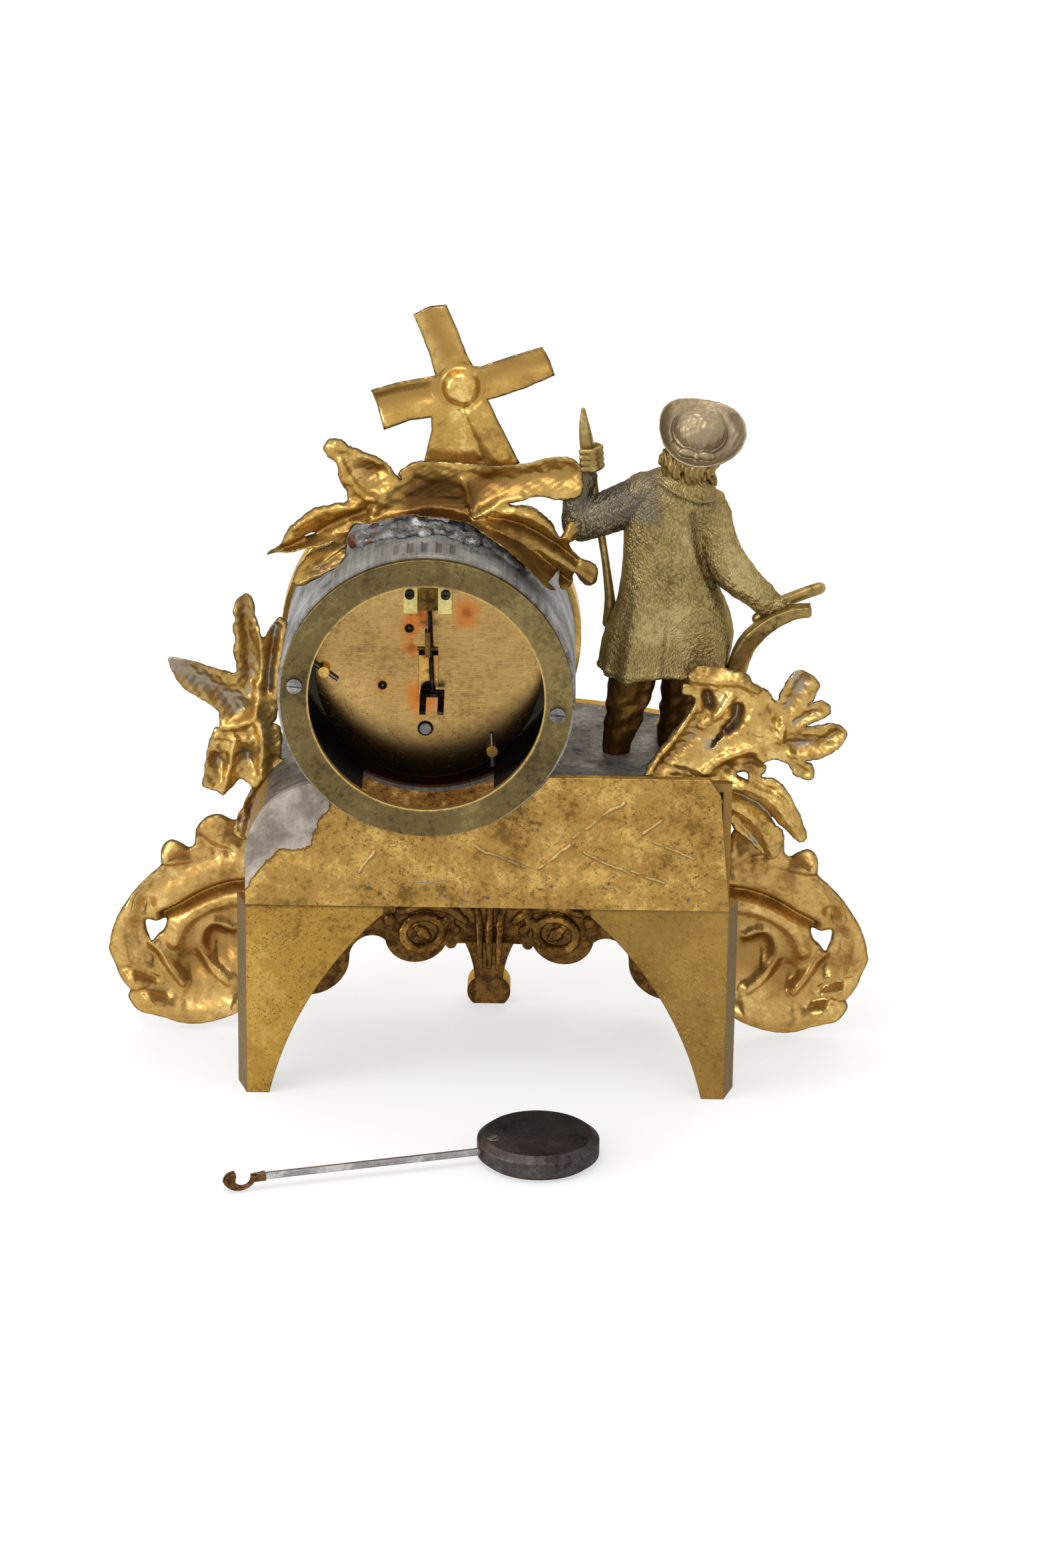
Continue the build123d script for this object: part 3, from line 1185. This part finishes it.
# Centre cock in its slot, with the blue screws
cock = block(
    DRUM_X - COCK_WIDTH / 2 + PIVOT_GAP,
    DRUM_X + COCK_WIDTH / 2 - PIVOT_GAP,
    BACK_PLATE_FRONT,
    BACK_PLATE_REAR,
    DRUM_Z + COCK_BOTTOM + PIVOT_GAP,
    DRUM_Z + COCK_TOP,
)
cock -= arbor_bar(PIVOT_RADIUS + 0.3 + PIVOT_GAP, BACK_PLATE_FRONT - 1, BACK_PLATE_REAR + 1, CENTRE_AT)
cock -= bar(BLUE_SCREW_SHANK, BACK_PLATE_FRONT - 1, BACK_PLATE_REAR + 1, cock_x, cock_z)
save("centre_cock", cock)


def blue_screw(x, z, seat, depth, head):
    """Slotted screw driven in from behind."""
    body = bar(head, seat, seat + BLUE_SCREW_THICK, x, z) + bar(BLUE_SCREW_SHANK, seat - depth, seat, x, z)
    top = seat + BLUE_SCREW_THICK
    return body - block(x - 5, x + 5, top - 0.5, top + 1, z - 0.3, z + 0.3)


cock_screw = blue_screw(cock_x, cock_z, BACK_PLATE_REAR, PLATE_THICK, BLUE_SCREW_HEAD)
bracket_screws = []
for place in foot_places:
    x, z = on_plate(place)
    shank = bracket_rear - BACK_PLATE_FRONT
    bracket_screws.append(blue_screw(x, z, bracket_rear, shank, 1.5 * BLUE_SCREW_SHANK))
save("movement_screws", cock_screw, *bracket_screws)

# Motion work and hands in front of the front plate
cannon_rear = FRONT_PLATE_FRONT - 0.8
cannon = pinion(
    CANNON_LEAVES, cannon_module, CENTRE_AT, bearing(CENTRE_AT, MINUTE_AT), minute_front - 0.3, cannon_rear
)
cannon += arbor_bar(CANNON_PIPE, pipe_front, cannon_rear, CENTRE_AT)
cannon -= arbor_bar(CENTRE_RADIUS, pipe_front - 1, cannon_rear + 1, CENTRE_AT)
save("cannon_pinion", cannon)
minute_face = tooth_face(MINUTE_TEETH, cannon_module, MINUTE_AT, bearing(MINUTE_AT, CENTRE_AT), True, False)
minute_wheel = slab(minute_face, minute_front, minute_front + WHEEL_THICK)
minute_wheel += pinion(
    MINUTE_LEAVES, minute_module, MINUTE_AT, bearing(MINUTE_AT, CENTRE_AT), post_front, minute_front
)
minute_wheel -= arbor_bar(minute_post + PIVOT_GAP, post_front - 1, FRONT_PLATE_FRONT, MINUTE_AT)
save("minute_wheel", minute_wheel)
hour_front = minute_front - 0.9 - WHEEL_THICK
hour_face = tooth_face(HOUR_TEETH, minute_module, CENTRE_AT, bearing(CENTRE_AT, MINUTE_AT), True, False)
hour_tip = dial_front - 2.0
hour_wheel = slab(hour_face, hour_front, hour_front + WHEEL_THICK)
hour_wheel += arbor_bar(HOUR_PIPE, hour_tip, hour_front + WHEEL_THICK, CENTRE_AT)
hour_wheel -= arbor_bar(CANNON_PIPE + PIVOT_GAP, hour_tip - 1, hour_front + WHEEL_THICK + 1, CENTRE_AT)
save("hour_wheel", hour_wheel)


def hand(length, boss, bore, front, width):
    """Hand pointing to twelve, with a ring near its tip."""
    blade = polygon(
        [
            (DRUM_X - width, DRUM_Z),
            (DRUM_X - 0.55 * width, DRUM_Z + 0.62 * length),
            (DRUM_X, DRUM_Z + length),
            (DRUM_X + 0.55 * width, DRUM_Z + 0.62 * length),
            (DRUM_X + width, DRUM_Z),
        ]
    )
    body = slab(blade, front, front + HAND_THICK)
    ring_z = DRUM_Z + 0.7 * length
    body += bar(1.9 * width, front, front + HAND_THICK, DRUM_X, ring_z)
    body -= bar(1.2 * width, front - 1, front + HAND_THICK + 1, DRUM_X, ring_z - 0.35 * width)
    body += bar(boss, front, front + HAND_THICK)
    return body - bar(bore, front - 1, front + HAND_THICK + 1)


minute_angle = 6.0 * MINUTE_SHOWN
hour_angle = 30.0 * HOUR_SHOWN + 0.5 * MINUTE_SHOWN
hour_hand = hand(HOUR_HAND, HOUR_PIPE + 1.6, HOUR_PIPE, hour_tip, 1.3)
minute_hand = hand(MINUTE_HAND, CANNON_PIPE + 1.6, CANNON_PIPE, pipe_front, 1.1)
save("hour_hand", turned(hour_hand, drum_at, hour_angle))
save("minute_hand", turned(minute_hand, drum_at, minute_angle))

# Pendulum on the table: bevelled bob, rod and a two-plate hook
bob_z = BOB_THICK / 2
lay = Pos(BOB_X, BOB_Y, bob_z) * Rot(0, 0, ROD_TURN)
bob_profile = polygon(
    [
        (0.0, -bob_z),
        (BOB_RADIUS - BOB_BEVEL, -bob_z),
        (BOB_RADIUS, -bob_z + BOB_BEVEL * 0.8),
        (BOB_RADIUS, bob_z - BOB_BEVEL * 0.8),
        (BOB_RADIUS - BOB_BEVEL, bob_z),
        (0.0, bob_z),
    ]
)
bob = revolve(Plane.XZ * bob_profile, axis=Axis.Z)
rod_start = BOB_RADIUS - ROD_SOCKET
rod_end = BOB_RADIUS + ROD_LENGTH
rod_hole = rod((rod_start, 0, 0), (BOB_RADIUS + 5.0, 0, 0), ROD_RADIUS)
screw_at = BOB_RADIUS - 0.62 * ROD_SOCKET
bob_screw_hole = Pos(screw_at, 0, bob_z) * Cylinder(2.2, 1.6)
bob = bob - rod_hole - bob_screw_hole
save("pendulum_bob", lay * bob)
bob_screw = Pos(screw_at, 0, bob_z - 0.3) * Cylinder(2.2, 1.0)
bob_screw -= Pos(screw_at, 0, bob_z + 0.2) * Rot(0, 0, 30) * Box(6.0, 0.7, 0.8)
save("bob_screw", lay * bob_screw)
pendulum_rod = rod((rod_start, 0, 0), (rod_end, 0, 0), ROD_RADIUS)
tongue_half = HOOK_PLATE * 0.5
tongue_room = block(rod_end - HOOK_OVERLAP, rod_end + 1, tongue_half, 9, -9, 9)
pendulum_rod = pendulum_rod - tongue_room - mirror(tongue_room, about=Plane.XZ)
save("pendulum_rod", lay * pendulum_rod)
hook_start = rod_end - HOOK_OVERLAP
hook_end = hook_start + HOOK_LENGTH
hook_low = -0.62 * HOOK_HEIGHT
hook_high = hook_low + HOOK_HEIGHT
hook_face = make_face(
    [
        Line((hook_start, ROD_RADIUS), (hook_start, -ROD_RADIUS)),
        Line((hook_start, -ROD_RADIUS), (hook_start + 4.0, -ROD_RADIUS)),
        ThreePointArc(
            (hook_start + 4.0, -ROD_RADIUS),
            (hook_end - 5.0, hook_low),
            (hook_end, hook_low + 0.45 * HOOK_HEIGHT),
        ),
        ThreePointArc(
            (hook_end, hook_low + 0.45 * HOOK_HEIGHT),
            (hook_end - 1.6, hook_high - 0.6),
            (hook_end - 4.0, hook_high),
        ),
        Line((hook_end - 4.0, hook_high), (hook_end - 4.2, hook_high - 1.4)),
        ThreePointArc(
            (hook_end - 4.2, hook_high - 1.4),
            (hook_end - 4.6, hook_low + 1.8),
            (hook_start + 5.0, ROD_RADIUS - 0.6),
        ),
        Line((hook_start + 5.0, ROD_RADIUS - 0.6), (hook_start, ROD_RADIUS)),
    ]
)
hook_plate = slab(hook_face, tongue_half, tongue_half + HOOK_PLATE)
save("pendulum_hook", lay * hook_plate, lay * mirror(hook_plate, about=Plane.XZ))
